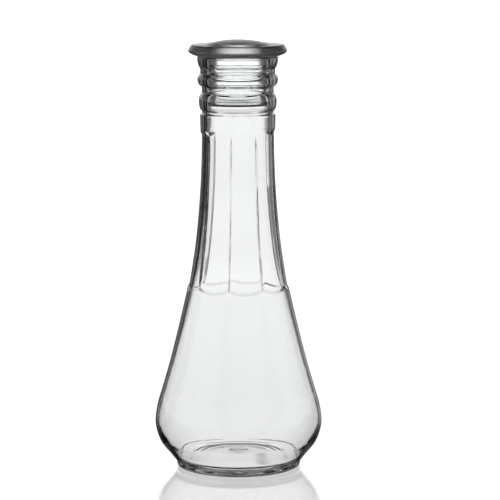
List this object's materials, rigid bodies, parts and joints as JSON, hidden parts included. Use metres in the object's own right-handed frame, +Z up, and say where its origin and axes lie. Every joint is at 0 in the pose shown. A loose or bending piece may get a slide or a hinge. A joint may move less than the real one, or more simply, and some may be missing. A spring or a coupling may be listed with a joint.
{
  "type": "stoppered glass decanter",
  "caption": "Clear glass decanter with a broad round body, fluted flaring neck, beaded mouth and a wide lift-out stopper.",
  "frame": {"origin": "centre of the foot, in the plane that the decanter stands on", "axes": "+Z up along the axis of the body and neck, -Y towards the front"},
  "size_m": [0.1132, 0.113, 0.2892],
  "materials": {
    "bottle_glass": "clear, fire-polished",
    "head_glass": "pressed, finely ribbed satin",
    "plug_plastic": "clear moulded",
    "seal": "translucent soft silicone"
  },
  "bodies": {
    "bottle": {"bottle": "bottle_glass"},
    "stopper": {"stopper_head": "head_glass", "stopper_plug": "plug_plastic", "seal_ring_1": "seal", "seal_ring_2": "seal", "seal_ring_3": "seal", "seal_ring_4": "seal"}
  },
  "joints": [
    {"name": "stopper_lift", "type": "slide", "parent": "bottle", "child": "stopper", "axis": [0, 0, 1], "range_m": [0, 0.06]}
  ]
}
